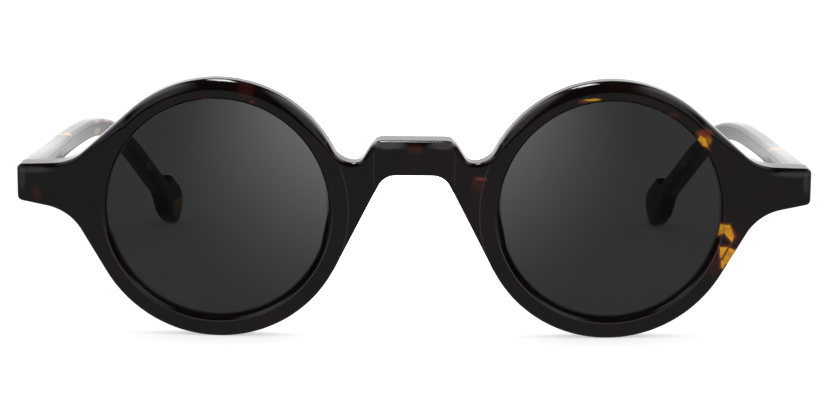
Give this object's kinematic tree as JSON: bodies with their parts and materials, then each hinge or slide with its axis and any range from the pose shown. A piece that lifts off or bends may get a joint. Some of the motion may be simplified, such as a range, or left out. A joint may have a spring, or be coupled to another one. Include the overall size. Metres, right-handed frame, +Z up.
{
  "type": "round sunglasses",
  "caption": "Round sunglasses with a thick acetate front, a raised bridge bar, grey tinted lenses and folding temples with paddle tips.",
  "frame": {"origin": "middle of the footprint, on the surface that the rims and the temple tips rest on", "axes": "+X to the wearer's left, +Y back along the temples, +Z up; the front faces -Y"},
  "size_m": [0.14, 0.1386, 0.0462],
  "materials": {
    "acetate": "polished, very dark tortoiseshell with a few amber flecks",
    "lens": "polished grey tint",
    "hinge_metal": "satin nickel silver",
    "screw_steel": "bright steel",
    "core_wire": "drawn nickel silver wire"
  },
  "bodies": {
    "front": {"front_frame": "acetate", "lens_left": "lens", "lens_right": "lens", "nose_pad_left": "acetate", "nose_pad_right": "acetate", "hinge_front_leaf_left": "hinge_metal", "hinge_front_leaf_right": "hinge_metal", "hinge_screw_left": "screw_steel", "hinge_screw_right": "screw_steel"},
    "temple_arm_left": {"temple_left": "acetate", "temple_core_left": "core_wire", "hinge_temple_leaf_left": "hinge_metal"},
    "temple_arm_right": {"temple_right": "acetate", "temple_core_right": "core_wire", "hinge_temple_leaf_right": "hinge_metal"}
  },
  "joints": [
    {"name": "fold_left", "type": "hinge", "parent": "front", "child": "temple_arm_left", "pos_m": [0.0638, -0.05812, 0.02756], "axis": [0, 0, 1], "range_deg": [0, 85]},
    {"name": "fold_right", "type": "hinge", "parent": "front", "child": "temple_arm_right", "pos_m": [-0.0638, -0.05812, 0.02756], "axis": [0, 0, -1], "range_deg": [0, 80]}
  ]
}
